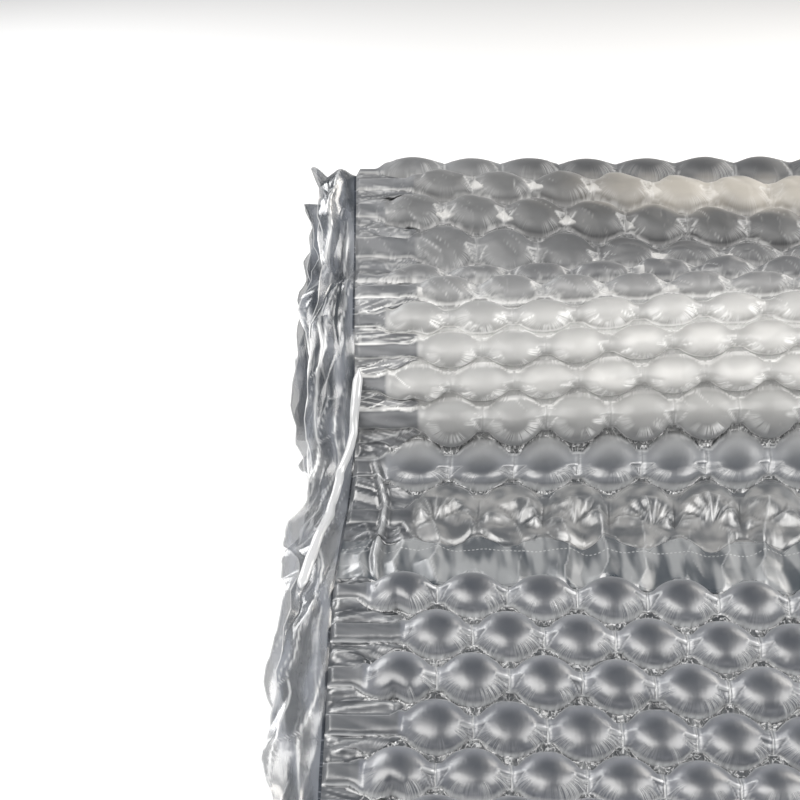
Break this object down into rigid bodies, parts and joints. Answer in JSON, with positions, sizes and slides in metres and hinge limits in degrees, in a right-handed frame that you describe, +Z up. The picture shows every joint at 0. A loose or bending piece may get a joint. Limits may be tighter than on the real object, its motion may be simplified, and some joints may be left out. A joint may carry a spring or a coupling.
{
  "type": "bubble wrap roll",
  "caption": "Coreless roll of inflated air-bubble film, slumped to an oval, with its loose end paid out flat in front for wrapping and void fill.",
  "frame": {"origin": "middle of the rectangle the part covers on the table, at table height", "axes": "+Z up, -Y towards the loose end of the film, +X along the rows of bubbles from the side weld to the far edge"},
  "size_m": [0.404, 0.5961, 0.2108],
  "materials": {
    "film": "satin translucent polyethylene film, cool grey where it lies in layers"
  },
  "bodies": {
    "root": {"film": "film"}
  },
  "joints": []
}
